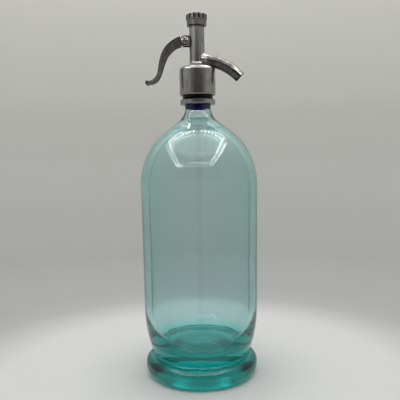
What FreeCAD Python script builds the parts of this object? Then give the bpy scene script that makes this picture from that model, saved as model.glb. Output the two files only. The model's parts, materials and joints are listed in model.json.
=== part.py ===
"""Soda siphon: a thick glass bottle, a screwed-on cast head with a spout, and a lever
that lifts a spring-loaded valve rod. Millimetres, +Z up, origin on the bottle's axis at
the table. The spout points to +X and the lever to -X."""

import FreeCAD, Part
import Sketcher
import os
import re

# Driving sizes: each one is written once, here.
SIZES = {
    # bottle, outside
    "body_radius": 52.0,
    "body_wall": 6.5,
    "heel_radius": 51.0,
    "heel_height": 60.0,
    "waist_radius": 43.0,
    "waist_height": 18.2,
    "waist_round": 1.8,
    "foot_radius": 50.6,
    "foot_rim_height": 10.0,
    "foot_edge_round": 4.4,
    "bearing_radius": 45.6,
    "bearing_width": 5.0,
    "bottom_hollow": 5.0,
    "shoulder_height": 172.0,
    "dome_round": 58.7,
    "dome_turn": 53.0,
    "flare_round": 15.3,
    "neck_radius": 11.4,
    "bead_radius": 13.0,
    "bead_height": 6.2,
    "bead_round": 1.6,
    "neck_length": 18.0,
    # bottle, inside
    "neck_bore": 7.6,
    "inner_dome_turn": 60.0,
    "inner_corner_height": 46.0,
    "floor_radius": 33.5,
    "floor_height": 28.5,
    "floor_rise": 3.0,
    # collar halves
    "collar_clearance": 0.3,
    "collar_seam_turn": 1.5,
    "collar_drop": 15.8,
    "collar_radius": 15.7,
    "collar_edge_round": 1.2,
    "collar_flange": 2.7,
    "collar_slope": 1.9,
    "thread_radius": 13.5,
    "thread_clearance": 0.1,
    # neck bung, dip tube and neck washer
    "bung_clearance": 0.05,
    "bung_length": 21.0,
    "bung_flange_radius": 11.6,
    "bung_flange": 1.6,
    "tube_radius": 2.75,
    "tube_wall": 0.9,
    "tube_clearance": 0.05,
    "tube_foot_gap": 5.0,
    "neck_washer_thick": 2.0,
    "neck_washer_bore": 3.4,
    # head: skirt and shoulder
    "skirt_radius": 15.9,
    "skirt_gap": 2.2,
    "skirt_edge_round": 1.1,
    "skirt_height": 21.8,
    "shoulder_round": 3.4,
    "shoulder_turn": 72.0,
    # head: column
    "column_radius": 6.7,
    "column_foot_reach": 2.1,
    "column_over_pivot": 18.9,
    "passage_radius": 2.6,
    "chamber_rise": 3.4,
    "chamber_radius": 4.4,
    "chamber_length": 11.6,
    "guide_bore": 5.2,
    "column_bevel": 0.5,
    # head: ears and pivot
    "pivot_reach": 10.4,
    "pivot_rise": 5.5,
    "ear_round": 4.25,
    "ear_thick": 2.2,
    "ear_gap": 4.4,
    "pivot_radius": 1.6,
    "pivot_clearance": 0.06,
    "screw_clearance": 0.02,
    "screw_head_radius": 3.4,
    "screw_head_height": 1.5,
    "screw_slot_width": 0.8,
    "screw_slot_depth": 0.8,
    "screw_slot_turn": 15.0,
    # spout
    "spout_rise": 5.8,
    "spout_start_turn": 4.0,
    "spout_end_turn": 43.0,
    "spout_bend": 47.0,
    "spout_tip": 4.2,
    "spout_root": 6.0,
    "spout_root_radius": 5.1,
    "spout_mid_radius": 5.15,
    "spout_mouth_radius": 4.9,
    "spout_mouth_edge": 0.35,
    "spout_bore": 3.1,
    "socket_root": 2.8,
    "socket_reach": 2.6,
    "socket_root_radius": 6.6,
    "socket_rim_radius": 5.45,
    "spout_clearance": 0.02,
    # valve seat and its washer
    "seat_washer_thick": 0.6,
    "seat_base": 0.9,
    "seat_lip": 1.4,
    "seat_bore": 2.3,
    "seat_lip_width": 0.7,
    # plunger
    "disc_radius": 3.3,
    "disc_thick": 1.8,
    "cup_radius": 3.95,
    "cup_height": 2.5,
    "cup_depth": 1.2,
    "stem_radius": 1.9,
    "stem_clearance": 0.05,
    "guide_clearance": 0.08,
    "guide_drop": 4.3,
    "guide_height": 9.8,
    "notch_height": 4.0,
    "notch_floor": 1.9,
    "spigot_radius": 2.5,
    "spigot_height": 1.8,
    "disc_screw_radius": 1.7,
    "disc_screw_head": 1.0,
    "disc_screw_shank": 0.8,
    "disc_screw_length": 4.2,
    # gland
    "packing_thick": 2.6,
    "gland_nut_height": 2.6,
    "gland_nut_slot": 1.0,
    # spring and its cup
    "spring_radius": 3.7,
    "spring_wire": 0.9,
    "spring_turns": 6.5,
    "spring_cup_thick": 0.5,
    "spring_cup_depth": 2.0,
    # cap
    "cap_overlap": 6.1,
    "cap_radius": 8.7,
    "cap_crown_radius": 9.25,
    "cap_height": 9.9,
    "cap_step": 5.2,
    "cap_crown_edge": 0.8,
    "cap_washer_thick": 0.9,
    "cap_notches": 14,
    "cap_notch_radius": 0.75,
    "cap_notch_length": 4.4,
    # lever
    "lever_width": 8.8,
    "lever_waist": 7.2,
    "lever_tail_width": 10.2,
    "lever_gap": 1.15,
    "lever_lip": 0.8,
    "shoulder_top_turn": 140.0,
    "shoulder_low_turn": 233.0,
    "tongue_play": 0.2,
    "hub_round": 4.0,
    "finger_reach": 6.5,
    "finger_round": 1.8,
    "finger_neck": 1.2,
    "bow_reach": 9.0,
    "bow_rise": 2.8,
    "bow_inner_reach": 6.3,
    "bow_inner_drop": 5.0,
    "elbow_reach": 21.2,
    "elbow_drop": 5.0,
    "elbow_inner_reach": 16.7,
    "elbow_inner_drop": 11.3,
    "knee_reach": 23.9,
    "knee_drop": 22.3,
    "knee_inner_reach": 20.3,
    "knee_inner_drop": 29.8,
    "tail_reach": 25.6,
    "tail_drop": 33.2,
    "tail_inner_reach": 26.1,
    "tail_inner_drop": 37.2,
    "tip_reach": 33.75,
    "tip_drop": 35.7,
    "tip_round": 1.75,
    "tip_thick": 2.4,
    "tip_overhang": 0.25,
    "lever_edge_round": 0.6,
}

# Sizes that follow from the driving sizes, in the order they build on each other.
DERIVED = {
    "dome_end_r": "body_radius - dome_round + dome_round * cos(dome_turn)",
    "dome_end_z": "shoulder_height + dome_round * sin(dome_turn)",
    "flare_start_r": "neck_radius + flare_round * (1 - cos(dome_turn))",
    "flare_start_z": "dome_end_z + (dome_end_r - flare_start_r) / tan(dome_turn)",
    "neck_start_z": "flare_start_z + flare_round * sin(dome_turn)",
    "lip_height": "neck_start_z + neck_length",
    "bead_bottom": "lip_height - bead_height",
    "collar_bottom": "lip_height - collar_drop",
    "inner_round": "dome_round - body_wall",
    "inner_radius": "body_radius - body_wall",
    "dome_axis": "body_radius - dome_round",
    "inner_end_r": "dome_axis + inner_round * cos(inner_dome_turn)",
    "inner_end_z": "shoulder_height + inner_round * sin(inner_dome_turn)",
    "inner_flare": "(inner_end_r - neck_bore) / (1 - cos(inner_dome_turn))",
    "bore_end_z": "inner_end_z + inner_flare * sin(inner_dome_turn)",
    "waist_top_r": "waist_radius + waist_round * 0.3",
    "waist_top_z": "waist_height + waist_round",
    "heel_reach": "heel_radius - waist_top_r",
    "heel_drop": "heel_height - waist_top_z",
    "heel_round": "(heel_reach^2 + heel_drop^2) / (2 * heel_reach)",
    "heel_turn": "asin(heel_drop / heel_round)",
    "inner_heel_r": "heel_radius - body_wall",
    "corner_reach": "inner_heel_r - floor_radius",
    "corner_drop": "inner_corner_height - floor_height",
    "corner_round": "(corner_reach^2 + corner_drop^2) / (2 * corner_reach)",
    "corner_turn": "asin(corner_drop / corner_round)",
    "collar_bore": "neck_radius + collar_clearance",
    "collar_flange_z": "collar_bottom + collar_edge_round + collar_flange",
    "collar_thread_z": "collar_flange_z + collar_slope",
    "collar_top": "bead_bottom - collar_clearance",
    "bung_radius": "neck_bore - bung_clearance",
    "bung_bottom": "lip_height - bung_length",
    "bung_top": "lip_height + bung_flange",
    "head_ceiling": "bung_top + neck_washer_thick",
    "tube_bottom": "floor_height + floor_rise + tube_foot_gap",
    "skirt_bore": "thread_radius + thread_clearance",
    "skirt_bottom": "collar_thread_z + skirt_gap - thread_clearance",
    "skirt_top": "skirt_bottom + skirt_height",
    "shoulder_end_r": "skirt_radius - shoulder_round * (1 - cos(shoulder_turn))",
    "shoulder_end_z": "skirt_top + shoulder_round * sin(shoulder_turn)",
    "slope_end_r": "column_radius + column_foot_reach",
    "slope_end_z": "shoulder_end_z + (shoulder_end_r - slope_end_r) / tan(shoulder_turn)",
    "column_foot": "column_foot_reach / (1 - cos(shoulder_turn))",
    "column_foot_z": "slope_end_z + column_foot * sin(shoulder_turn)",
    "chamber_floor": "skirt_top + chamber_rise",
    "gland_step": "chamber_floor + chamber_length",
    "packing_top": "gland_step + packing_thick",
    "gland_top": "packing_top + gland_nut_height",
    "pivot_x": "-pivot_reach",
    "pivot_height": "gland_top + pivot_rise",
    "column_top": "pivot_height + column_over_pivot",
    "spout_start_height": "chamber_floor + spout_rise",
    "ear_face": "ear_gap / 2 + ear_thick",
    "seat_base_z": "chamber_floor + seat_washer_thick",
    "seat_top": "seat_base_z + seat_base + seat_lip",
    "disc_top": "seat_top + disc_thick",
    "cup_bottom": "disc_top - cup_depth",
    "cup_top": "cup_bottom + cup_height",
    "guide_bottom": "pivot_height - guide_drop",
    "guide_radius": "guide_bore - guide_clearance",
    "guide_top": "guide_bottom + guide_height",
    "cap_ceiling": "column_top + cap_washer_thick",
    "cap_bottom": "column_top - cap_overlap",
    "cap_top": "cap_bottom + cap_height",
    "cap_step_z": "cap_bottom + cap_step",
    "cap_bore": "column_radius + thread_clearance",
    "spring_top": "cap_ceiling - spring_cup_thick",
    "tongue_half": "ear_gap / 2 - tongue_play",
    "shoulder_arc": "ear_round + lever_gap",
}

document = FreeCAD.newDocument("SodaSiphon")
sheet = document.addObject("Spreadsheet::Sheet", "sizes")
workings = document.addObject("Spreadsheet::Sheet", "workings")
parts = []


def fill_sheet():
    """Put every driving and derived size into a cell of its own, with its alias."""
    for row, (name, value) in enumerate(SIZES.items(), start=1):
        sheet.set(f"A{row}", name)
        sheet.set(f"B{row}", str(value))
        sheet.setAlias(f"B{row}", name)
    sheet.recompute()
    for row, (name, formula) in enumerate(DERIVED.items(), start=1):
        sheet.set(f"D{row}", name)
        sheet.set(f"E{row}", "=" + formula)
        sheet.setAlias(f"E{row}", name)
    document.recompute()


def bound(formula):
    """A formula of sheet names as an expression that another object can hold."""
    def qualified(match):
        word = match.group(0)
        return f"sizes.{word}" if word in SIZES or word in DERIVED else word
    return re.sub(r"[a-z_]+", qualified, formula)


def number(formula):
    """The present value of a formula of sheet names."""
    workings.set("A1", "=" + bound(formula))
    workings.recompute()
    return float(workings.get("A1"))


def new_body(name):
    body = document.addObject("PartDesign::Body", name)
    body.Label = name
    parts.append(body)
    return body


def origin_feature(body, role):
    return next(item for item in body.Origin.OriginFeatures if item.Role == role)


def pin_point(sketch, geometry, position, x, y):
    """Hold one point of a sketch at two formulas, measured from the sketch's origin."""
    for kind, axis, formula in (("DistanceX", -2, x), ("DistanceY", -1, y)):
        value = number(formula)
        if formula == "0":
            sketch.addConstraint(Sketcher.Constraint("PointOnObject", geometry, position, axis))
            continue
        index = sketch.addConstraint(Sketcher.Constraint(kind, -1, 1, geometry, position, value))
        sketch.setExpression(f"Constraints[{index}]", bound(formula))


def add_arc(sketch, start, end, x, y):
    """An arc between two points through a middle that two formulas give. Returns it with
    the positions of its first and last point: a sketch keeps every arc anticlockwise."""
    middle = FreeCAD.Vector(number(x), number(y), 0)
    anticlockwise = (middle - start).cross(end - middle).z > 0
    ends = (start, end) if anticlockwise else (end, start)
    edge = sketch.addGeometry(Part.Arc(ends[0], middle, ends[1]), False)
    spot = sketch.addGeometry(Part.Point(middle), True)
    pin_point(sketch, spot, 1, x, y)
    sketch.addConstraint(Sketcher.Constraint("PointOnObject", spot, 1, edge))
    return (edge, 1, 2) if anticlockwise else (edge, 2, 1)


def add_curve(sketch, start, end, poles):
    """A smooth curve between two points, drawn towards poles that pairs of formulas give."""
    places = [start] + [FreeCAD.Vector(number(x), number(y), 0) for x, y in poles] + [end]
    curve = Part.BSplineCurve()
    curve.buildFromPoles(places, False, 3)
    edge = sketch.addGeometry(curve, False)
    kind = "InternalAlignment:Sketcher::BSplineControlPoint"
    for index, (x, y) in enumerate(poles, start=1):
        ring = Part.Circle(places[index], FreeCAD.Vector(0, 0, 1), 1)
        handle = sketch.addGeometry(ring, True)
        sketch.addConstraint(Sketcher.Constraint(kind, handle, 3, edge, index))
        pin_point(sketch, handle, 3, x, y)
        sketch.addConstraint(Sketcher.Constraint("Weight", handle, 1.0))
    return edge, 1, 2


def draw_outline(sketch, corners):
    """A closed outline. A corner of two formulas ends a straight edge. A corner of four
    ends an arc through the middle point that its last two formulas give, and a corner of
    three ends a smooth curve with the poles that its list gives."""
    points = [FreeCAD.Vector(number(corner[0]), number(corner[1]), 0) for corner in corners]
    drawn = []
    for index, corner in enumerate(corners):
        start, end = points[index - 1], points[index]
        if len(corner) == 2:
            edge = sketch.addGeometry(Part.LineSegment(start, end), False)
            head, tail = 1, 2
        elif len(corner) == 3:
            edge, head, tail = add_curve(sketch, start, end, corner[2])
        else:
            edge, head, tail = add_arc(sketch, start, end, corner[2], corner[3])
        pin_point(sketch, edge, tail, corner[0], corner[1])
        drawn.append((edge, head, tail))
    for (edge, head, _), (before, _, tail) in zip(drawn, drawn[-1:] + drawn[:-1]):
        sketch.addConstraint(Sketcher.Constraint("Coincident", before, tail, edge, head))


def outline(body, name, role, *outlines):
    sketch = body.newObject("Sketcher::SketchObject", name)
    sketch.AttachmentSupport = [(origin_feature(body, role), "")]
    sketch.MapMode = "FlatFace"
    for corners in outlines:
        draw_outline(sketch, corners)
    document.recompute()
    return sketch


def circle(body, name, role, x, y, radius):
    sketch = body.newObject("Sketcher::SketchObject", name)
    sketch.AttachmentSupport = [(origin_feature(body, role), "")]
    sketch.MapMode = "FlatFace"
    centre = FreeCAD.Vector(number(x), number(y), 0)
    ring = sketch.addGeometry(Part.Circle(centre, FreeCAD.Vector(0, 0, 1), number(radius)), False)
    pin_point(sketch, ring, 3, x, y)
    index = sketch.addConstraint(Sketcher.Constraint("Radius", ring, number(radius)))
    sketch.setExpression(f"Constraints[{index}]", bound(radius))
    document.recompute()
    return sketch


def revolve(body, name, sketch, kind="PartDesign::Revolution", angle="360"):
    feature = body.newObject(kind, name)
    feature.Profile = sketch
    feature.ReferenceAxis = (sketch, ["V_Axis"])
    feature.setExpression("Angle", bound(angle))
    document.recompute()
    return feature


def turned(name, corners):
    """A piece that is turned about the Z axis from half of its section."""
    body = new_body(name)
    revolve(body, name + "_turning", outline(body, name + "_section", "XZ_Plane", corners))
    return body


def ring_section(inner, outer, bottom, top):
    return [(inner, bottom), (outer, bottom), (outer, top), (inner, top)]


def crown_middle(radius, base, rise):
    """Middle of an arc from a rim up to the Z axis, with its centre on that axis."""
    ball = f"(({radius})^2 + ({rise})^2) / (2 * ({rise}))"
    half = f"({radius}) / 2"
    return half, f"{base} + {rise} - {ball} + sqrt(({ball})^2 - ({half})^2)"


def pad(body, name, sketch, length):
    feature = body.newObject("PartDesign::Pad", name)
    feature.Profile = sketch
    feature.SideType = "Symmetric"
    feature.setExpression("Length", bound(length))
    document.recompute()
    return feature


def pocket(body, name, sketch, length):
    """A cut to both sides of its sketch, which must take material away."""
    before = body.Shape.Volume
    feature = body.newObject("PartDesign::Pocket", name)
    feature.Profile = sketch
    feature.SideType = "Symmetric"
    feature.setExpression("Length", bound(length))
    document.recompute()
    if body.Shape.Volume > before - 1e-6:
        raise ValueError(name + " cuts nothing")
    return feature


# ---------------------------------------------------------------- bottle and neck

def glass_bottle():
    half_dome = "dome_turn / 2"
    half_flare = "dome_turn / 2"
    half_inner = "inner_dome_turn / 2"
    turned("glass_bottle", [
        ("bearing_radius", "0"),
        ("foot_radius", "foot_rim_height",
         "bearing_radius + (foot_radius - bearing_radius) * 0.74", "foot_rim_height * 0.4"),
        ("waist_radius + waist_round * 0.7", "waist_height - waist_round",
         "foot_radius - foot_edge_round * 0.4",
         "foot_rim_height + foot_edge_round - foot_edge_round * 0.1"),
        ("waist_top_r", "waist_top_z", "waist_radius", "waist_height"),
        ("heel_radius", "heel_height",
         "heel_radius - heel_round * (1 - cos(heel_turn / 2))",
         "heel_height - heel_round * sin(heel_turn / 2)"),
        ("body_radius", "shoulder_height"),
        ("dome_end_r", "dome_end_z",
         f"dome_axis + dome_round * cos({half_dome})",
         f"shoulder_height + dome_round * sin({half_dome})"),
        ("flare_start_r", "flare_start_z"),
        ("neck_radius", "neck_start_z",
         f"neck_radius + flare_round * (1 - cos({half_flare}))",
         f"neck_start_z - flare_round * sin({half_flare})"),
        ("neck_radius", "bead_bottom"),
        ("bead_radius", "bead_bottom + bead_round * 0.5"),
        ("bead_radius", "lip_height - bead_round"),
        ("bead_radius - bead_round", "lip_height",
         "bead_radius - bead_round * 0.293", "lip_height - bead_round * 0.293"),
        ("neck_bore", "lip_height"),
        ("neck_bore", "bore_end_z"),
        ("inner_end_r", "inner_end_z",
         f"neck_bore + inner_flare * (1 - cos({half_inner}))",
         f"bore_end_z - inner_flare * sin({half_inner})"),
        ("inner_radius", "shoulder_height",
         f"dome_axis + inner_round * cos({half_inner})",
         f"shoulder_height + inner_round * sin({half_inner})"),
        ("inner_heel_r", "inner_corner_height"),
        ("floor_radius", "floor_height",
         "inner_heel_r - corner_round * (1 - cos(corner_turn / 2))",
         "inner_corner_height - corner_round * sin(corner_turn / 2)"),
        ("0", "floor_height + floor_rise",
         *crown_middle("floor_radius", "floor_height", "floor_rise")),
        ("0", "bottom_hollow"),
        ("bearing_radius - bearing_width", "0",
         *crown_middle("bearing_radius - bearing_width", "0", "bottom_hollow")),
    ])


def collar_half(name, start_turn):
    """One half of the split collar. Its ledge bears under the glass bead and its thread
    takes the skirt of the head, which also holds the two halves together."""
    body = new_body(name)
    section = outline(body, name + "_section", "XZ_Plane", [
        ("collar_bore + collar_edge_round * 0.5", "collar_bottom"),
        ("collar_radius - collar_edge_round", "collar_bottom"),
        ("collar_radius", "collar_bottom + collar_edge_round",
         "collar_radius - collar_edge_round * 0.293", "collar_bottom + collar_edge_round * 0.293"),
        ("collar_radius", "collar_flange_z"),
        ("thread_radius", "collar_thread_z"),
        ("thread_radius", "collar_top"),
        ("collar_bore", "collar_top"),
        ("collar_bore", "collar_bottom + collar_edge_round * 0.5"),
    ])
    revolve(body, name + "_turning", section, angle="180 - collar_seam_turn")
    turn = FreeCAD.Rotation(FreeCAD.Vector(0, 0, 1), start_turn + number("collar_seam_turn / 2"))
    body.Placement = FreeCAD.Placement(FreeCAD.Vector(0, 0, 0), turn)


def neck_bung():
    """Plug with a flange on the lip of the glass. It holds the dip tube."""
    bore = "tube_radius + tube_clearance"
    turned("neck_bung", [
        (bore, "bung_bottom"),
        ("bung_radius - 1", "bung_bottom"),
        ("bung_radius", "bung_bottom + 1"),
        ("bung_radius", "lip_height"),
        ("bung_flange_radius", "lip_height"),
        ("bung_flange_radius", "bung_top"),
        (bore, "bung_top"),
    ])


def dip_tube():
    turned("dip_tube", ring_section("tube_radius - tube_wall", "tube_radius",
                                    "tube_bottom", "bung_top"))


def neck_washer():
    turned("neck_washer", ring_section("neck_washer_bore", "bung_flange_radius",
                                       "bung_top", "head_ceiling"))


# ---------------------------------------------------------------- cast head

def bore(body, name, radius, bottom, top):
    """A straight hole on the Z axis between two heights."""
    cutter = body.newObject("PartDesign::SubtractiveCylinder", name)
    cutter.setExpression("Radius", bound(radius))
    cutter.setExpression("Height", bound(f"{top} - ({bottom})"))
    cutter.setExpression("Placement.Base.z", bound(bottom))
    document.recompute()


def aim_along_spout(feature, start):
    """Set a primitive on the line that the spout leaves the column by, from a distance
    along that line, counted from the spout's root."""
    turn = "spout_start_turn"
    feature.Placement.Rotation = FreeCAD.Rotation(FreeCAD.Vector(0, 1, 0), 90 + number(turn))
    feature.setExpression("Placement.Rotation.Angle", bound(f"90 + {turn}"))
    feature.setExpression("Placement.Base.x", bound(f"spout_root + ({start}) * cos({turn})"))
    height = f"spout_start_height - ({start}) * sin({turn})"
    feature.setExpression("Placement.Base.z", bound(height))
    document.recompute()


def path_point(turn):
    """Formulas of a point on the spout's bend, after turning to this slope."""
    x = f"spout_root + spout_bend * (sin({turn}) - sin(spout_start_turn))"
    z = f"spout_start_height + spout_bend * (cos({turn}) - cos(spout_start_turn))"
    return x, z


def spout_ring(body, name, x, z, turn, radius):
    """A circle square to the spout's path at one of its points."""
    sketch = circle(body, name, "YZ_Plane", "0", "0", radius)
    tilt = FreeCAD.Rotation(FreeCAD.Vector(1, 0, 0), number(turn))
    sketch.AttachmentOffset = FreeCAD.Placement(FreeCAD.Vector(0, number(z), number(x)), tilt)
    sketch.setExpression("AttachmentOffset.Base.y", bound(z))
    sketch.setExpression("AttachmentOffset.Base.z", bound(x))
    sketch.setExpression("AttachmentOffset.Rotation.Angle", bound(turn))
    document.recompute()
    return sketch


def spout_form(body, kind, prefix, grown):
    """The spout's outer form, grown by a clearance where it is cut out of the casting:
    three rings on a path of one arc and a straight tip. Returns the path and its end."""
    path = body.newObject("Sketcher::SketchObject", prefix + "_path")
    path.AttachmentSupport = [(origin_feature(body, "XZ_Plane"), "")]
    path.MapMode = "FlatFace"
    mid_turn = "(spout_start_turn + spout_end_turn) / 2"
    start, middle, end = (path_point(turn) for turn in
                          ("spout_start_turn", mid_turn, "spout_end_turn"))
    tip = (f"{end[0]} + spout_tip * cos(spout_end_turn)",
           f"{end[1]} - spout_tip * sin(spout_end_turn)")
    start_point, end_point, tip_point = (FreeCAD.Vector(number(x), number(z), 0)
                                         for x, z in (start, end, tip))
    bend, head, tail = add_arc(path, start_point, end_point, *middle)
    straight = path.addGeometry(Part.LineSegment(end_point, tip_point), False)
    pin_point(path, bend, head, *start)
    pin_point(path, bend, tail, *end)
    path.addConstraint(Sketcher.Constraint("Coincident", bend, tail, straight, 1))
    pin_point(path, straight, 2, *tip)
    document.recompute()
    root = spout_ring(body, prefix + "_root_ring", *start, "spout_start_turn",
                      f"spout_root_radius + {grown}")
    waist = spout_ring(body, prefix + "_mid_ring", *middle, mid_turn,
                       f"spout_mid_radius + {grown}")
    mouth = spout_ring(body, prefix + "_mouth_ring", *tip, "spout_end_turn",
                       f"spout_mouth_radius + {grown}")
    form = body.newObject(kind, prefix + "_form")
    form.Profile = root
    form.Spine = (path, [])
    form.Transformation = "Multisection"
    form.Sections = [(waist, ("",)), (mouth, ("",))]
    document.recompute()
    return path, FreeCAD.Vector(tip_point.x, 0, tip_point.y)


def head_body():
    """Skirt, sloping shoulder and column in one casting, bored through, with a socket for
    the spout and two ears that the lever's slot parts."""
    body = new_body("head_body")
    half_turn = "shoulder_turn / 2"
    section = outline(body, "head_section", "XZ_Plane", [
        ("skirt_bore", "skirt_bottom"),
        ("skirt_radius - skirt_edge_round", "skirt_bottom"),
        ("skirt_radius", "skirt_bottom + skirt_edge_round",
         "skirt_radius - skirt_edge_round * 0.293", "skirt_bottom + skirt_edge_round * 0.293"),
        ("skirt_radius", "skirt_top"),
        ("shoulder_end_r", "shoulder_end_z",
         f"skirt_radius - shoulder_round * (1 - cos({half_turn}))",
         f"skirt_top + shoulder_round * sin({half_turn})"),
        ("slope_end_r", "slope_end_z"),
        ("column_radius", "column_foot_z",
         f"column_radius + column_foot * (1 - cos({half_turn}))",
         f"column_foot_z - column_foot * sin({half_turn})"),
        ("column_radius", "column_top - column_bevel"),
        ("column_radius - column_bevel", "column_top"),
        ("passage_radius", "column_top"),
        ("passage_radius", "head_ceiling"),
        ("skirt_bore", "head_ceiling"),
    ])
    revolve(body, "head_turning", section)
    ears = outline(body, "ear_outline", "XZ_Plane", [
        ("-(guide_bore + column_radius) / 2", "pivot_height - ear_round"),
        ("-(guide_bore + column_radius) / 2", "pivot_height + ear_round"),
        ("pivot_x", "pivot_height + ear_round"),
        ("pivot_x", "pivot_height - ear_round", "pivot_x - ear_round", "pivot_height"),
    ])
    pad(body, "ear_pad", ears, "2 * ear_face")
    socket = body.newObject("PartDesign::AdditiveCone", "spout_socket")
    socket.setExpression("Radius1", bound("socket_root_radius"))
    socket.setExpression("Radius2", bound("socket_rim_radius"))
    socket.setExpression("Height", bound("socket_root + socket_reach"))
    aim_along_spout(socket, "-socket_root")
    port = body.newObject("PartDesign::SubtractiveCylinder", "spout_port")
    port.setExpression("Radius", bound("spout_bore"))
    port.setExpression("Height", bound("spout_root + socket_reach"))
    aim_along_spout(port, "-spout_root")
    spout_form(body, "PartDesign::SubtractivePipe", "seat", "spout_clearance")
    slot = outline(body, "slot_outline", "XZ_Plane", [
        ("-guide_bore * 0.6", "pivot_height - ear_round - pivot_clearance"),
        ("-guide_bore * 0.6", "pivot_height + ear_round + pivot_clearance"),
        ("pivot_x - ear_round * 1.5", "pivot_height + ear_round + pivot_clearance"),
        ("pivot_x - ear_round * 1.5", "pivot_height - ear_round - pivot_clearance"),
    ])
    pocket(body, "lever_slot", slot, "ear_gap")
    pivot_hole = circle(body, "pivot_hole_outline", "XZ_Plane", "pivot_x", "pivot_height",
                        "pivot_radius + screw_clearance")
    pocket(body, "pivot_hole", pivot_hole, "4 * ear_face")
    bore(body, "valve_chamber", "chamber_radius", "chamber_floor", "gland_step")
    bore(body, "guide_bore", "guide_bore", "gland_step", "column_top + column_bevel")


def spout():
    """Bent tube that slims to its mouth."""
    body = new_body("spout")
    path, tip = spout_form(body, "PartDesign::AdditivePipe", "spout", "0")
    bore_ring = spout_ring(body, "bore_ring", *path_point("spout_start_turn"),
                           "spout_start_turn", "spout_bore")
    hole = body.newObject("PartDesign::SubtractivePipe", "spout_hole")
    hole.Profile = bore_ring
    hole.Spine = (path, [])
    document.recompute()
    edges = [f"Edge{index}" for index, edge in enumerate(hole.Shape.Edges, start=1)
             if edge.Closed and edge.CenterOfMass.distanceToPoint(tip) < 0.01]
    rim = body.newObject("PartDesign::Fillet", "mouth_edges")
    rim.Base = (hole, edges)
    rim.setExpression("Radius", bound("spout_mouth_edge"))
    document.recompute()


def cap_washer():
    turned("cap_washer", ring_section("guide_bore + thread_clearance",
                                      "column_radius - column_bevel",
                                      "column_top", "cap_ceiling"))


def top_cap():
    """Screw cap with a flared crown, notched all round for the fingers."""
    body = new_body("top_cap")
    section = outline(body, "cap_section", "XZ_Plane", [
        ("cap_bore", "cap_bottom"),
        ("cap_radius - cap_crown_edge * 0.6", "cap_bottom"),
        ("cap_radius", "cap_bottom + cap_crown_edge * 0.6"),
        ("cap_radius", "cap_step_z - cap_crown_edge"),
        ("cap_crown_radius", "cap_step_z"),
        ("cap_crown_radius", "cap_top - cap_crown_edge"),
        ("cap_crown_radius - cap_crown_edge", "cap_top",
         "cap_crown_radius - cap_crown_edge * 0.293", "cap_top - cap_crown_edge * 0.293"),
        ("0", "cap_top"),
        ("0", "cap_ceiling"),
        ("cap_bore", "cap_ceiling"),
    ])
    revolve(body, "cap_turning", section)
    sketch = circle(body, "notch_outline", "XY_Plane",
                    "cap_crown_radius + cap_notch_radius * 0.2", "0", "cap_notch_radius")
    sketch.setExpression("AttachmentOffset.Base.z", "sizes.cap_top")
    document.recompute()
    notch = pocket(body, "notch", sketch, "2 * cap_notch_length")
    ring = body.newObject("PartDesign::PolarPattern", "notch_ring")
    ring.Originals = [notch]
    ring.Axis = (origin_feature(body, "Z_Axis"), [""])
    ring.Angle = 360
    ring.setExpression("Occurrences", bound("cap_notches"))
    body.Tip = ring
    document.recompute()


# ---------------------------------------------------------------- valve

def valve_parts():
    turned("seat_washer", ring_section("passage_radius", "chamber_radius - stem_clearance",
                                       "chamber_floor", "seat_base_z"))
    turned("valve_seat", [
        ("seat_bore", "seat_base_z"),
        ("chamber_radius - stem_clearance", "seat_base_z"),
        ("chamber_radius - stem_clearance", "seat_base_z + seat_base"),
        ("seat_bore + seat_lip_width", "seat_base_z + seat_base"),
        ("seat_bore + seat_lip_width * 0.6", "seat_top"),
        ("seat_bore", "seat_top"),
    ])
    turned("valve_washer", ring_section("disc_screw_shank + stem_clearance", "disc_radius",
                                        "seat_top", "disc_top"))
    turned("washer_screw", [
        ("0", "seat_top - disc_screw_head"),
        ("disc_screw_radius", "seat_top - disc_screw_head"),
        ("disc_screw_radius", "seat_top"),
        ("disc_screw_shank", "seat_top"),
        ("disc_screw_shank", "seat_top + disc_screw_length"),
        ("0", "seat_top + disc_screw_length"),
    ])


def plunger():
    """Valve rod: a cup for the rubber disc, a stem through the gland, and a guide with the
    notch that the lever's finger lifts."""
    body = new_body("plunger")
    section = outline(body, "plunger_section", "XZ_Plane", [
        ("disc_screw_shank + screw_clearance", "disc_top"),
        ("disc_radius + stem_clearance", "disc_top"),
        ("disc_radius + stem_clearance", "cup_bottom"),
        ("cup_radius", "cup_bottom"),
        ("cup_radius", "cup_top - (cup_radius - stem_radius) * 0.4"),
        ("stem_radius", "cup_top"),
        ("stem_radius", "guide_bottom"),
        ("guide_radius", "guide_bottom"),
        ("guide_radius", "guide_top"),
        ("spigot_radius", "guide_top"),
        ("spigot_radius", "guide_top + spigot_height"),
        ("0", "guide_top + spigot_height"),
        ("0", "seat_top + disc_screw_length + screw_clearance"),
        ("disc_screw_shank + screw_clearance",
         "seat_top + disc_screw_length + screw_clearance"),
    ])
    revolve(body, "plunger_turning", section)
    notch = outline(body, "notch_section", "XZ_Plane", [
        ("-notch_floor", "pivot_height - notch_height / 2"),
        ("-notch_floor", "pivot_height + notch_height / 2"),
        ("-guide_bore * 1.2", "pivot_height + notch_height / 2"),
        ("-guide_bore * 1.2", "pivot_height - notch_height / 2"),
    ])
    pocket(body, "finger_notch", notch, "3 * guide_bore")


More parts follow.
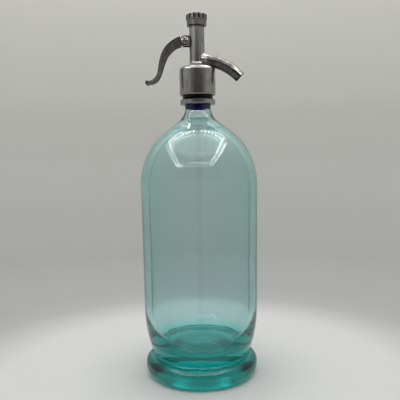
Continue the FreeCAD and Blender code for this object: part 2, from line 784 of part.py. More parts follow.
def gland():
    stem_hole = "stem_radius + stem_clearance"
    turned("gland_packing", ring_section(stem_hole, "guide_bore - stem_clearance",
                                         "gland_step", "packing_top"))
    nut = turned("gland_nut", ring_section(stem_hole, "guide_bore - stem_clearance",
                                           "packing_top", "gland_top"))
    slot = outline(nut, "nut_slot_section", "XZ_Plane", [
        ("-gland_nut_slot / 2", "gland_top - gland_nut_slot"),
        ("gland_nut_slot / 2", "gland_top - gland_nut_slot"),
        ("gland_nut_slot / 2", "gland_top + gland_nut_slot"),
        ("-gland_nut_slot / 2", "gland_top + gland_nut_slot"),
    ])
    pocket(nut, "nut_slot", slot, "3 * guide_bore")


def spring_cup():
    """Cup that centres the top of the spring under the cap."""
    inside = "spring_radius + spring_wire / 2 + stem_clearance * 3"
    turned("spring_cup", [
        ("0", "spring_top"),
        (inside, "spring_top"),
        (inside, "spring_top - spring_cup_depth"),
        ("guide_bore - stem_clearance * 4", "spring_top - spring_cup_depth"),
        ("guide_bore - stem_clearance * 4", "cap_ceiling"),
        ("0", "cap_ceiling"),
    ])


def closing_spring():
    """Round wire swept along a helix between the guide and the spring cup."""
    helix = document.addObject("Part::Helix", "spring_line")
    helix.setExpression("Radius", bound("spring_radius"))
    helix.setExpression("Height", bound("spring_top - guide_top - spring_wire * 1.04"))
    helix.setExpression("Pitch", bound(
        "(spring_top - guide_top - spring_wire * 1.04) / spring_turns"))
    helix.setExpression("Placement.Base.z", bound("guide_top + spring_wire * 0.52"))
    wire = document.addObject("Part::Circle", "spring_wire_section")
    wire.setExpression("Radius", bound("spring_wire / 2"))
    wire.Placement.Rotation = FreeCAD.Rotation(FreeCAD.Vector(1, 0, 0), 90)
    wire.setExpression("Placement.Base.x", bound("spring_radius"))
    wire.setExpression("Placement.Base.z", bound("guide_top + spring_wire * 0.52"))
    document.recompute()
    sweep = document.addObject("Part::Sweep", "closing_spring")
    sweep.Label = "closing_spring"
    sweep.Sections = [wire]
    sweep.Spine = (helix, [f"Edge{index + 1}" for index in range(len(helix.Shape.Edges))])
    sweep.Solid = True
    sweep.Frenet = True
    parts.append(sweep)
    document.recompute()


# ---------------------------------------------------------------- lever and its screw

def from_pivot(reach, drop):
    """Formulas of a point given by its distance to the left of the pivot and below it."""
    return f"pivot_x - ({reach})", f"pivot_height - ({drop})"


def round_pivot(distance, turn):
    """Formulas of a point at a distance from the pivot, turned up from +X."""
    return from_pivot(f"-({distance}) * cos({turn})", f"-({distance}) * sin({turn})")


def lever():
    """Curved arm with a rolled tip, a hub between the ears and a finger into the rod."""
    body = new_body("lever")
    outer_poles = [from_pivot("bow_reach", "-bow_rise"),
                   from_pivot("elbow_reach", "elbow_drop"),
                   from_pivot("knee_reach", "knee_drop"),
                   from_pivot("tail_reach", "tail_drop")]
    inner_poles = [from_pivot(f"{bend}_inner_reach", f"{bend}_inner_drop")
                   for bend in ("tail", "knee", "elbow", "bow")]
    arm = outline(body, "arm_outline", "XZ_Plane", [
        from_pivot("tip_reach", "tip_drop - tip_thick / 2") + (outer_poles,),
        from_pivot("tip_reach", "tip_drop + tip_thick / 2"),
        round_pivot("shoulder_arc + lever_lip", "shoulder_low_turn") + (inner_poles,),
        round_pivot("shoulder_arc", "shoulder_low_turn"),
        round_pivot("shoulder_arc", "shoulder_top_turn") + from_pivot("shoulder_arc", "0"),
        round_pivot("shoulder_arc + lever_lip", "shoulder_top_turn"),
    ])
    pad(body, "arm_pad", arm, "lever_tail_width + 2 * tip_overhang")
    for side, name in (("", "far"), ("-", "near")):
        trim = outline(body, f"{name}_trim_outline", "YZ_Plane", [
            (f"{side}lever_tail_width / 2", "pivot_height - tip_drop - tip_round * 1.5",
             f"{side}lever_waist / 2", "pivot_height - knee_drop"),
            (f"{side}lever_tail_width", "pivot_height - tip_drop - tip_round * 1.5"),
            (f"{side}lever_tail_width", "pivot_height + shoulder_arc * 2"),
            (f"{side}lever_width / 2", "pivot_height + shoulder_arc * 2"),
        ])
        pocket(body, f"{name}_trim", trim, "4 * tip_reach")
    arm_length = number("tip_reach")
    names = [f"Edge{index}" for index, edge in enumerate(body.Shape.Edges, start=1)
             if edge.Length > arm_length]
    trimmed = body.Tip
    rounding = body.newObject("PartDesign::Fillet", "arm_rounding")
    rounding.Base = (trimmed, names)
    rounding.setExpression("Radius", bound("lever_edge_round"))
    document.recompute()
    bead = circle(body, "tip_outline", "XZ_Plane", *from_pivot("tip_reach", "tip_drop"),
                  "tip_round")
    pad(body, "tip_bead", bead, "lever_tail_width + 2 * tip_overhang")
    tongue = outline(body, "tongue_outline", "XZ_Plane", [
        from_pivot("-hub_round * 0.2", "-hub_round * 0.98"),
        from_pivot("shoulder_arc * 1.3", "-hub_round * 0.5"),
        from_pivot("shoulder_arc * 1.2", "hub_round * 0.8"),
        from_pivot("-hub_round * 0.2", "hub_round * 0.98"),
        from_pivot("-finger_reach * 0.72", "finger_neck"),
        from_pivot("-finger_reach", "finger_round * 0.98"),
        from_pivot("-finger_reach", "-finger_round * 0.98")
        + from_pivot("-finger_reach - finger_round", "0"),
        from_pivot("-finger_reach * 0.72", "-finger_neck"),
    ])
    pad(body, "tongue_pad", tongue, "2 * tongue_half")
    pivot_hole = circle(body, "lever_hole_outline", "XZ_Plane", "pivot_x", "pivot_height",
                        "pivot_radius + pivot_clearance")
    pocket(body, "lever_hole", pivot_hole, "2 * lever_width")


def pivot_screw():
    """Slotted dome-head screw through both ears. Its own Z axis points out of its head."""
    body = new_body("pivot_screw")
    section = outline(body, "screw_section", "XZ_Plane", [
        ("0", "-ear_face"),
        ("pivot_radius - screw_clearance * 10", "-ear_face"),
        ("pivot_radius", "-ear_face + screw_clearance * 10"),
        ("pivot_radius", "ear_face"),
        ("screw_head_radius", "ear_face"),
        ("screw_head_radius", "ear_face + screw_head_height * 0.3"),
        ("0", "ear_face + screw_head_height",
         *crown_middle("screw_head_radius", "ear_face + screw_head_height * 0.3",
                       "screw_head_height * 0.7")),
    ])
    revolve(body, "screw_turning", section)
    slot = outline(body, "screw_slot_outline", "XZ_Plane", [
        ("-screw_slot_width / 2", "ear_face + screw_head_height - screw_slot_depth"),
        ("screw_slot_width / 2", "ear_face + screw_head_height - screw_slot_depth"),
        ("screw_slot_width / 2", "ear_face + screw_head_height * 2"),
        ("-screw_slot_width / 2", "ear_face + screw_head_height * 2"),
    ])
    pocket(body, "screw_slot", slot, "4 * screw_head_radius")
    towards_viewer = FreeCAD.Rotation(FreeCAD.Vector(1, 0, 0), 90)
    slot_turn = FreeCAD.Rotation(FreeCAD.Vector(0, 0, 1), number("screw_slot_turn"))
    centre = FreeCAD.Vector(number("pivot_x"), 0, number("pivot_height"))
    body.Placement = FreeCAD.Placement(centre, towards_viewer.multiply(slot_turn))


# ---------------------------------------------------------------- build and export

def check_document():
    """Stop at any object that failed, and at any part without a valid shape."""
    document.recompute()
    for item in document.Objects:
        if "Invalid" in item.State or "Error" in item.State:
            raise ValueError(f"{item.Name} failed: {item.State}")
    for part in parts:
        if part.Shape.isNull() or not part.Shape.isValid() or not part.Shape.Solids:
            raise ValueError(f"{part.Label} has no valid solid")


def export():
    os.makedirs("parts", exist_ok=True)
    for part in parts:
        part.Shape.exportStep(os.path.join("parts", part.Label + ".step"))
        print(f"{part.Label:20s} {len(part.Shape.Solids)} solid(s) {part.Shape.Volume:12.2f} mm3")


fill_sheet()
glass_bottle()
collar_half("collar_half_back", 0)
collar_half("collar_half_front", 180)
neck_bung()
dip_tube()
neck_washer()
head_body()
spout()
cap_washer()
top_cap()
valve_parts()
plunger()
gland()
spring_cup()
closing_spring()
lever()
pivot_screw()
check_document()
export()
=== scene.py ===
"""Looks of the soda siphon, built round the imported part: glass, metals, light and camera.

The frame is in metres. Sizes and places below are in millimetres, where nothing else is said.
"""

import json
import math

import bmesh
import bpy
from mathutils import Euler, Matrix, Vector, noise


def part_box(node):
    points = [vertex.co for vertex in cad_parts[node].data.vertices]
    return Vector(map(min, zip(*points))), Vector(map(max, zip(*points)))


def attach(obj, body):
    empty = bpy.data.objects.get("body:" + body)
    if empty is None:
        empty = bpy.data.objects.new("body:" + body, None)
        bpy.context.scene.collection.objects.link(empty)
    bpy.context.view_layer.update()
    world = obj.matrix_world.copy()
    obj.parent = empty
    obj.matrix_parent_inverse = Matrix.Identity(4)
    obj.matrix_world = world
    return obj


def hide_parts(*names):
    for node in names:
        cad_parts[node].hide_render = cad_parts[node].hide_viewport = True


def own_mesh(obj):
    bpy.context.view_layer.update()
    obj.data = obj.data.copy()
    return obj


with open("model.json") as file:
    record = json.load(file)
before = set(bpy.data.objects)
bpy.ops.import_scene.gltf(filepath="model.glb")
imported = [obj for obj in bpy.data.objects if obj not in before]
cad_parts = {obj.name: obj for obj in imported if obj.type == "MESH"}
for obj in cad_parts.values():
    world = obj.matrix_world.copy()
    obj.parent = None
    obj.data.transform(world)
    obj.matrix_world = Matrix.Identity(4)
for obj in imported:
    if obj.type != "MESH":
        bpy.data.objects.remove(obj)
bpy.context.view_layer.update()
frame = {"nodes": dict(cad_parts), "record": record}
nodes = frame["nodes"]

MM = 0.001


# ---------------------------------------------------------------- camera

FRAME_PX = 400.0
FOCAL_PX = 530.0
SENSOR_MM = 36.0
EYE = Vector((0.6, -475.7, 194.5)) * MM
EYE_PITCH = math.radians(-4.5)
EYE_ROLL = math.radians(-0.9)
NEAREST = 10 * MM


def place_camera():
    """A close camera a little above the shoulder, tipped down slightly."""
    data = bpy.data.cameras.new("camera")
    data.sensor_width = SENSOR_MM
    data.lens = SENSOR_MM * FOCAL_PX / FRAME_PX
    data.clip_start = NEAREST
    eye = bpy.data.objects.new("camera", data)
    level = Euler((math.pi / 2 + EYE_PITCH, 0, 0)).to_matrix()
    rolled = level @ Matrix.Rotation(EYE_ROLL, 3, "Z")
    eye.matrix_world = Matrix.Translation(EYE) @ rolled.to_4x4()
    bpy.context.scene.collection.objects.link(eye)
    bpy.context.scene.camera = eye


# ---------------------------------------------------------------- node trees

NOISE_ROUGH = 0.55


class Surface:
    """One material's node tree, written as plain calls."""

    def __init__(self, name):
        self.material = bpy.data.materials.new(name)
        self.material.use_nodes = True
        self.tree = self.material.node_tree
        self.tree.nodes.clear()
        self.out = self.tree.nodes.new("ShaderNodeOutputMaterial")
        self.place = self.node("ShaderNodeTexCoord").outputs["Object"]

    def node(self, kind, inputs=None, **settings):
        """A node with its settings; an input that is a socket is linked, others are set."""
        made = self.tree.nodes.new(kind)
        for key, value in settings.items():
            setattr(made, key, value)
        for key, value in (inputs or {}).items():
            self.feed(made.inputs[key], value)
        return made

    def feed(self, socket, value):
        """Links a socket to another, or sets it to a value."""
        if isinstance(value, bpy.types.NodeSocket):
            self.tree.links.new(value, socket)
        else:
            socket.default_value = value

    def noise(self, size, detail=4.0, stretch=(1, 1, 1)):
        """Cloudy grey whose spots are about size metres across."""
        scaled = self.node("ShaderNodeMapping", {"Vector": self.place, "Scale": stretch})
        return self.node("ShaderNodeTexNoise", {
            "Vector": scaled.outputs[0], "Scale": 1.0 / size, "Detail": detail,
            "Roughness": NOISE_ROUGH}).outputs["Fac"]

    def ramp(self, value, *stops):
        """A colour ramp over a value. Each stop is a place and a grey or a colour."""
        made = self.node("ShaderNodeValToRGB", {"Fac": value})
        bar = made.color_ramp.elements
        while len(bar) < len(stops):
            bar.new(0.5)
        for knob, (at, shade) in zip(bar, stops):
            knob.position = at
            colour = shade if isinstance(shade, tuple) else (shade,) * 3
            knob.color = (*colour, 1.0)
        return made.outputs["Color"]

    def math(self, how, a, b=0.0, c=0.5):
        """One step of arithmetic. Only MULTIPLY_ADD reads c."""
        made = self.node("ShaderNodeMath", operation=how)
        for socket, value in zip(made.inputs, (a, b, c)):
            self.feed(socket, value)
        return made.outputs[0]

    def between(self, value, low, high):
        """1 where a value lies between two limits, and 0 elsewhere."""
        return self.math("MULTIPLY", self.math("GREATER_THAN", value, low),
                         self.math("LESS_THAN", value, high))

    def blend(self, a, b, share):
        """The sum of two values, of which the first has this share."""
        return self.math("ADD", self.math("MULTIPLY", a, share),
                         self.math("MULTIPLY", b, 1 - share))

    def position(self):
        """x, z and the distance from the bottle's axis, in metres."""
        x, y, z = self.node("ShaderNodeSeparateXYZ", {0: self.place}).outputs
        square = self.math("ADD", self.math("MULTIPLY", x, x), self.math("MULTIPLY", y, y))
        return x, z, self.math("SQRT", square)

    def mix(self, amount, a, b):
        """Colour a blended towards colour b."""
        made = self.node("ShaderNodeMix", data_type="RGBA")
        ends = [socket for socket in made.inputs if socket.type == "RGBA"]
        for socket, value in zip([made.inputs[0], *ends], (amount, a, b)):
            self.feed(socket, (*value, 1.0) if isinstance(value, tuple) else value)
        return next(socket for socket in made.outputs if socket.type == "RGBA")

    def bump(self, height, depth, under=None):
        """Normals of a relief that is depth metres deep, over another where one is given."""
        inputs = {"Height": height, "Strength": 1.0, "Distance": depth}
        if under is not None:
            inputs["Normal"] = under
        return self.node("ShaderNodeBump", inputs).outputs["Normal"]

    def finish(self, volume=None, **inputs):
        """The Principled shader on the output. Names use _ for spaces."""
        named = {key.replace("_", " "): value for key, value in inputs.items()}
        shader = self.node("ShaderNodeBsdfPrincipled", named)
        self.tree.links.new(shader.outputs[0], self.out.inputs["Surface"])
        if volume is not None:
            self.tree.links.new(volume, self.out.inputs["Volume"])
        return self.material


# ---------------------------------------------------------------- materials
# A ramp's stops are written (place, tone), and a tone is a grey or a colour.

# Absorption of the glass per metre of path: red goes first, so thick glass is teal.
GLASS_DENSITY = 38.0
GLASS_PASSES = (0.0, 0.76, 0.745, 1.0)
GLASS_IOR = 1.5
GLASS_TINT = (0.95, 0.926, 0.93)
# Painted shade: the glass's tint and its reflections are darkened where a face turns this far
# away. Heights in ramps are in metres.
RIM_TURNED = (0.71, 0.0), (0.81, 1.0)
RIM_HEIGHTS = (0.050, 0.0), (0.058, 1.0), (0.14, 1.0), (0.20, 0.35)
# painted shade tones: for the glass's tint, and for its reflections
RIM_SHADE_TINT, RIM_SHADE_SHINE = (0.10, 0.15, 0.145), (0.30, 0.34, 0.34)
FOOT_HEIGHTS, FOOT_TINT = ((0.022, 1.0), (0.036, 0.0)), (0.14, 0.98, 0.96)
# The hollow under the foot is ground dull, and the ledge over the foot a little less.
GROUND_ROUGH, GROUND_TOP, GROUND_INSET = 0.25, 5.2, 0.3
LEDGE_LOW, LEDGE_HIGH, LEDGE_SHARE = 13.5, 19.5, 0.6
GLASS_WAVE_WIDTH, GLASS_WAVE_DEPTH = 16.0, 0.025


def bottle_glass():
    """Thick teal glass. Its colour comes from the way through it. Painted shade darkens its tint
    and its reflections where it is seen edge on. It is ground dull under the foot and on its
    ledge."""
    s = Surface("bottle_glass")
    edge_on = s.node("ShaderNodeLayerWeight", {"Blend": 0.5}).outputs["Facing"]
    _, z, radius = s.position()
    # painted shade: tint and reflections darken where the glass is seen edge on, between the
    # heights given
    rim_shade = s.math("MULTIPLY", s.ramp(edge_on, *RIM_TURNED), s.ramp(z, *RIM_HEIGHTS))
    tint = s.mix(rim_shade, GLASS_TINT, RIM_SHADE_TINT)
    tint = s.mix(s.ramp(z, *FOOT_HEIGHTS), tint, FOOT_TINT)
    hollow = s.math("MULTIPLY", s.math("LESS_THAN", z, GROUND_TOP * MM),
                    s.math("LESS_THAN", radius, (BEARING_R - GROUND_INSET) * MM))
    ledge = s.math("MULTIPLY", s.between(z, LEDGE_LOW * MM, LEDGE_HIGH * MM), LEDGE_SHARE)
    waves = s.bump(s.noise(GLASS_WAVE_WIDTH * MM, 1.0), GLASS_WAVE_DEPTH * MM)
    volume = s.node("ShaderNodeVolumeAbsorption", {"Color": GLASS_PASSES,
                                                   "Density": GLASS_DENSITY})
    dull = s.math("MULTIPLY", s.math("MAXIMUM", hollow, ledge), GROUND_ROUGH)
    return s.finish(volume.outputs[0], Base_Color=tint, IOR=GLASS_IOR, Normal=waves,
                    Roughness=dull, Transmission_Weight=1.0,
                    Specular_Tint=s.mix(rim_shade, (1.0, 1.0, 1.0), RIM_SHADE_SHINE))


TUBE_CLEAR = (0.3, 0.97), (0.7, 1.0)
TUBE_IOR = 1.005                    # next to none, so that the tube hardly shows


def tube_glass():
    """Thin clear tube that hardly shows in the bottle."""
    s = Surface("tube_glass")
    return s.finish(Base_Color=s.ramp(s.noise(6 * MM), *TUBE_CLEAR), Roughness=0.0,
                    IOR=TUBE_IOR, Transmission_Weight=1.0)


PEWTER = (0.36, (0.235, 0.23, 0.22)), (0.62, (0.41, 0.405, 0.395))
PEWTER_ROUGH = (0.3, 0.28), (0.7, 0.19)
PORES, PORE_TONE = ((0.26, 0.6), (0.34, 0.0)), (0.10, 0.10, 0.095)
# Painted shade in the grooves round the axis: from and up to a height, and inside a radius.
GROOVE_SHADE = (246.9, 250.2, 14.4), (315.7, 321.0, 9.15)
GROOVE_SHADE_TONE = (0.022, 0.022, 0.021)
# Painted shade darkens the ears, and the cap is made darker too.
EAR_X, EAR_Z, EAR_SHARE = -8.3, 285.0, 0.9
CAP_Z, CAP_SHARE = 308.0, 0.58
EAR_SHADE_AND_CAP_TONE = (0.06, 0.06, 0.057)


def pewter():
    """Aged cast metal: soft clouds of tarnish, fine pores, upright streaks, a darker cap, and
    painted shade in the grooves and on the ears.
    """
    s = Surface("pewter")
    cloud = s.noise(7 * MM, 4.0)
    streak = s.noise(0.8 * MM, 3.0, stretch=(1, 1, 0.06))
    pores = s.noise(0.5 * MM, 3.0)
    colour = s.ramp(s.blend(cloud, streak, 0.5), *PEWTER)
    colour = s.mix(s.ramp(pores, *PORES), colour, PORE_TONE)
    x, z, radius = s.position()
    # painted shade in each groove, almost black
    for low, high, reach in GROOVE_SHADE:
        groove = s.math("MULTIPLY", s.between(z, low * MM, high * MM),
                        s.math("LESS_THAN", radius, reach * MM))
        colour = s.mix(groove, colour, GROOVE_SHADE_TONE)
    # painted shade on the ears; the cap is only made darker
    ears = s.math("MULTIPLY", s.math("LESS_THAN", x, EAR_X * MM),
                  s.math("GREATER_THAN", z, EAR_Z * MM))
    cap = s.math("GREATER_THAN", z, CAP_Z * MM)
    ear_shade_and_cap = s.math("MAXIMUM", s.math("MULTIPLY", ears, EAR_SHARE),
                     s.math("MULTIPLY", cap, CAP_SHARE))
    colour = s.mix(ear_shade_and_cap, colour, EAR_SHADE_AND_CAP_TONE)
    relief = s.bump(pores, 0.006 * MM, s.bump(s.noise(2.6 * MM, 2.0), 0.03 * MM))
    return s.finish(Base_Color=colour, Metallic=1.0, Normal=relief,
                    Roughness=s.ramp(cloud, *PEWTER_ROUGH))


PLATING = (0.35, (0.08, 0.078, 0.074)), (0.62, (0.21, 0.205, 0.197))
PLATING_ROUGH = (0.35, 0.24), (0.65, 0.12)
SPOUT_WAY = Vector((0.69, 0.0, -0.724))         # the way the spout's mouth points
# painted shade: the last MOUTH_DEPTH mm at the spout's mouth is painted almost black
MOUTH_DEPTH, MOUTH_SHARE, MOUTH_SHADE_TONE = 1.0, 0.9, (0.012, 0.012, 0.011)


def polished_metal():
    """Plating polished by hands, with hairlines, dull patches and painted shade in a dark rim at
    the mouth.
    """
    s = Surface("polished_metal")
    cloud = s.noise(4 * MM, 5.0)
    lines = s.noise(0.5 * MM, 3.0, stretch=(0.15, 1, 1))
    mouth = max(vertex.co.dot(SPOUT_WAY) for vertex in nodes["spout"].data.vertices)
    ahead = s.node("ShaderNodeVectorMath", {0: s.place, 1: SPOUT_WAY},
                   operation="DOT_PRODUCT").outputs["Value"]
    rim_shade = s.math("GREATER_THAN", ahead, mouth - MOUTH_DEPTH * MM)
    colour = s.mix(s.math("MULTIPLY", rim_shade, MOUTH_SHARE), s.ramp(cloud, *PLATING), MOUTH_SHADE_TONE)
    return s.finish(Base_Color=colour, Metallic=1.0,
                    Roughness=s.ramp(s.blend(cloud, lines, 0.7), *PLATING_ROUGH),
                    Normal=s.bump(lines, 0.012 * MM, s.bump(cloud, 0.05 * MM)))


IRON = (0.30, (0.06, 0.059, 0.056)), (0.60, (0.13, 0.128, 0.122)), (0.80, (0.23, 0.225, 0.22))
IRON_ROUGH = (0.35, 0.48), (0.7, 0.27)


def dark_iron():
    """Dark hammered metal with patches rubbed brighter by fingers."""
    s = Surface("dark_iron")
    cloud = s.noise(2.6 * MM, 6.0)
    pits = s.noise(0.5 * MM, 3.0)
    return s.finish(Base_Color=s.ramp(cloud, *IRON), Metallic=1.0,
                    Roughness=s.ramp(cloud, *IRON_ROUGH),
                    Normal=s.bump(pits, 0.05 * MM, s.bump(s.noise(1.3 * MM, 2.0), 0.18 * MM)))


RING_SHARE = 0.35                   # of the tool's rings in the tone of a turned part
ROUGHER, SMOOTHER = 0.10, 0.05      # how far its roughness strays up and down


def turned_metal(name, dark, light, rough):
    """Small turned parts with fine rings from the tool."""
    s = Surface(name)
    rings = s.noise(0.35 * MM, 2.0, stretch=(0.2, 0.2, 1))
    cloud = s.noise(2.5 * MM, 4.0)
    colour = s.ramp(s.blend(rings, cloud, RING_SHARE), (0.35, dark), (0.65, light))
    return s.finish(Base_Color=colour, Metallic=1.0, Normal=s.bump(rings, 0.02 * MM),
                    Roughness=s.ramp(cloud, (0.3, rough + ROUGHER), (0.7, rough - SMOOTHER)))


BLUE = (0.35, (0.001, 0.006, 0.13)), (0.65, (0.003, 0.02, 0.24))


def blue_plastic():
    """Deep blue plastic with hardly any shine."""
    s = Surface("blue_plastic")
    return s.finish(Base_Color=s.ramp(s.noise(3 * MM, 4.0), *BLUE), Roughness=0.5,
                    Specular_IOR_Level=0.05, Normal=s.bump(s.noise(1.2 * MM), 0.03 * MM))


RUBBER = (0.3, 0.012), (0.7, 0.03)


def seal_rubber():
    """Soft black rubber."""
    s = Surface("seal_rubber")
    return s.finish(Base_Color=s.ramp(s.noise(2 * MM), *RUBBER), Roughness=0.75,
                    Normal=s.bump(s.noise(0.3 * MM), 0.02 * MM))


FIBRE = (0.3, (0.10, 0.035, 0.02)), (0.7, (0.24, 0.10, 0.055))


def fibre():
    """Pressed red-brown fibre sheet, with its strands lying flat."""
    s = Surface("fibre")
    strands = s.noise(0.8 * MM, 6.0, stretch=(1, 1, 4))
    return s.finish(Base_Color=s.ramp(strands, *FIBRE), Roughness=0.85,
                    Normal=s.bump(strands, 0.05 * MM))


# ---------------------------------------------------------------- mesh helpers

def mesh_object(name, build):
    """A smooth object from a bmesh that build fills."""
    mesh = bpy.data.meshes.new(name)
    bm = bmesh.new()
    build(bm)
    bmesh.ops.recalc_face_normals(bm, faces=bm.faces)
    bm.to_mesh(mesh)
    bm.free()
    mesh.polygons.foreach_set("use_smooth", [True] * len(mesh.polygons))
    made = bpy.data.objects.new(name, mesh)
    bpy.context.scene.collection.objects.link(made)
    return made


def dress(piece, body, slot, *replaced):
    """Puts a new piece on its body, in its slot's finish, in place of the CAD nodes."""
    piece.data.materials.clear()
    piece.data.materials.append(finishes[slot])
    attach(piece, body)
    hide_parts(*replaced)


def arc(start, middle, end, pitch):
    """Points of the circle through three points, after start and up to end."""
    (ax, ay), (bx, by), (cx, cy) = start, middle, end
    twice = 2 * (ax * (by - cy) + bx * (cy - ay) + cx * (ay - by))
    ux = ((ax**2 + ay**2) * (by - cy) + (bx**2 + by**2) * (cy - ay)
          + (cx**2 + cy**2) * (ay - by)) / twice
    uy = ((ax**2 + ay**2) * (cx - bx) + (bx**2 + by**2) * (ax - cx)
          + (cx**2 + cy**2) * (bx - ax)) / twice
    radius = math.hypot(ax - ux, ay - uy)
    first = math.atan2(ay - uy, ax - ux)
    half = math.remainder(math.atan2(by - uy, bx - ux) - first, math.tau)
    rest = math.remainder(math.atan2(cy - uy, cx - ux) - first - half, math.tau)
    turn = half + rest
    steps = max(3, math.ceil(abs(turn) * radius / pitch))
    return [(ux + radius * math.cos(first + turn * i / steps),
             uy + radius * math.sin(first + turn * i / steps)) for i in range(1, steps + 1)]


def line(start, end, pitch=2.5):
    """Points of a straight run, after start and up to end."""
    steps = max(1, math.ceil(math.dist(start, end) / pitch))
    return [(start[0] + (end[0] - start[0]) * i / steps,
             start[1] + (end[1] - start[1]) * i / steps) for i in range(1, steps + 1)]


ON_AXIS = 1e-6                      # a radius below this is one point on the axis


def lathe(bm, profile, segments, shift=None):
    """Turns a profile of (radius, height) about Z. shift gives the way each point moves."""
    rings = []
    for radius, height in profile:
        ring = []
        for i in range(1 if radius < ON_AXIS else segments):
            turn = math.tau * i / segments
            place = Vector((radius * math.cos(turn), radius * math.sin(turn), height))
            ring.append(bm.verts.new((place + shift(place) if shift else place) * MM))
        rings.append(ring)
    for low, high in zip(rings, rings[1:]):
        for i in range(segments):
            j = (i + 1) % segments
            corners = [low[i % len(low)], low[j % len(low)],
                       high[j % len(high)], high[i % len(high)]]
            bm.faces.new(list(dict.fromkeys(corners)))


# ---------------------------------------------------------------- bottle

BOTTLE_SEGMENTS = 180
BODY_R, WALL = 52.0, 6.5
HEEL_R, HEEL_Z = 51.0, 60.0
WAIST_R, WAIST_Z, WAIST_ROUND = 43.0, 18.7, 1.8
FOOT_R, FOOT_Z, FOOT_ROUND = 50.6, 10.0, 4.4
BEARING_R, BEARING_WIDTH, HOLLOW = 45.6, 5.0, 5.0
FOOT_SIDE = 0.74, 0.4               # bulge of the side, as shares of its overhang and height
LEDGE_CREST = 0.25, 1.05            # in and up from the widest point, in FOOT_ROUND
LEDGE_END = 0.67, 0.6               # out and down from the waist, in WAIST_ROUND
BELLY_START = 0.3, 1.0              # out and up from the waist, in WAIST_ROUND
SHOULDER_Z, DOME_ROUND, DOME_TURN = 172.0, 58.7, math.radians(53)
NECK_R, FLARE_ROUND, NECK_LENGTH = 11.4, 15.3, 18.0
BEAD_R, BEAD_HEIGHT, BEAD_ROUND = 13.0, 6.2, 1.6
ROUND_INSET = 0.293                 # how far the middle of a quarter round stands in
NECK_BORE, INNER_TURN = 7.6, math.radians(60)
FLOOR_R, FLOOR_Z, FLOOR_RISE = 34.0, 30.0, 0.3
INNER_CORNER_Z = 60.0

DOME_AXIS = BODY_R - DOME_ROUND
FLARE_R = NECK_R + FLARE_ROUND * (1 - math.cos(DOME_TURN))
DOME_END = (DOME_AXIS + DOME_ROUND * math.cos(DOME_TURN),
            SHOULDER_Z + DOME_ROUND * math.sin(DOME_TURN))
FLARE_START = (FLARE_R, DOME_END[1] + (DOME_END[0] - FLARE_R) / math.tan(DOME_TURN))
NECK_START_Z = FLARE_START[1] + FLARE_ROUND * math.sin(DOME_TURN)
LIP_Z = NECK_START_Z + NECK_LENGTH


def crown(radius, base, rise):
    """Middle of an arc from a rim up to the axis, with its centre on the axis."""
    ball = (radius**2 + rise**2) / (2 * rise)
    return radius / 2, base + rise - ball + math.sqrt(ball**2 - (radius / 2)**2)


def on_arc(centre, radius, turn):
    """The point of a circle at this angle up from the horizontal."""
    return centre[0] + radius * math.cos(turn), centre[1] + radius * math.sin(turn)


def upright_arc_middle(low, high):
    """Middle of an arc between two points that stands upright at the higher one."""
    reach, drop = high[0] - low[0], high[1] - low[1]
    radius = (reach**2 + drop**2) / (2 * reach)
    return on_arc((high[0] - radius, high[1]), radius, -math.asin(drop / radius) / 2)


def bottle_profile():
    """The outline from the hollow under the foot, up outside and down inside."""
    path = [(0.0, HOLLOW)]

    def run(*corners, **pitch):
        shape = line if len(corners) == 1 else arc
        path.extend(shape(path[-1], *corners, **pitch))

    inner_rim = BEARING_R - BEARING_WIDTH
    run(crown(inner_rim, 0, HOLLOW), (inner_rim, 0), pitch=2)
    run((BEARING_R, 0), pitch=1)
    run((BEARING_R + (FOOT_R - BEARING_R) * FOOT_SIDE[0], FOOT_Z * FOOT_SIDE[1]),
        (FOOT_R, FOOT_Z), pitch=0.6)
    run((FOOT_R - FOOT_ROUND * LEDGE_CREST[0], FOOT_Z + FOOT_ROUND * LEDGE_CREST[1]),
        (WAIST_R + WAIST_ROUND * LEDGE_END[0], WAIST_Z - WAIST_ROUND * LEDGE_END[1]), pitch=0.5)
    run((WAIST_R, WAIST_Z), (WAIST_R + WAIST_ROUND * BELLY_START[0],
                             WAIST_Z + WAIST_ROUND * BELLY_START[1]), pitch=0.3)
    run(upright_arc_middle(path[-1], (HEEL_R, HEEL_Z)), (HEEL_R, HEEL_Z), pitch=1)
    run((BODY_R, SHOULDER_Z))
    run(on_arc((DOME_AXIS, SHOULDER_Z), DOME_ROUND, DOME_TURN / 2), DOME_END, pitch=1)
    run(FLARE_START, pitch=1)
    run((NECK_R + FLARE_ROUND * (1 - math.cos(DOME_TURN / 2)),
         NECK_START_Z - FLARE_ROUND * math.sin(DOME_TURN / 2)), (NECK_R, NECK_START_Z), pitch=0.7)
    bead = LIP_Z - BEAD_HEIGHT
    run((NECK_R, bead), pitch=1)
    run((BEAD_R, bead + BEAD_ROUND * 0.5), pitch=0.4)
    run((BEAD_R, LIP_Z - BEAD_ROUND), pitch=1)
    run((BEAD_R - BEAD_ROUND * ROUND_INSET, LIP_Z - BEAD_ROUND * ROUND_INSET),
        (BEAD_R - BEAD_ROUND, LIP_Z), pitch=0.4)
    run((NECK_BORE, LIP_Z), pitch=1)
    inner_end = on_arc((DOME_AXIS, SHOULDER_Z), DOME_ROUND - WALL, INNER_TURN)
    flare = (inner_end[0] - NECK_BORE) / (1 - math.cos(INNER_TURN))
    bore_end = inner_end[1] + flare * math.sin(INNER_TURN)
    run((NECK_BORE, bore_end), pitch=1)
    run((NECK_BORE + flare * (1 - math.cos(INNER_TURN / 2)),
         bore_end - flare * math.sin(INNER_TURN / 2)), inner_end, pitch=1)
    run(on_arc((DOME_AXIS, SHOULDER_Z), DOME_ROUND - WALL, INNER_TURN / 2),
        (BODY_R - WALL, SHOULDER_Z), pitch=1)
    corner = (HEEL_R - WALL, INNER_CORNER_Z)
    run(corner)
    run(upright_arc_middle((FLOOR_R, FLOOR_Z), corner), (FLOOR_R, FLOOR_Z), pitch=0.6)
    run(crown(FLOOR_R, FLOOR_Z, FLOOR_RISE), (0.0, FLOOR_Z + FLOOR_RISE), pitch=0.8)
    return path


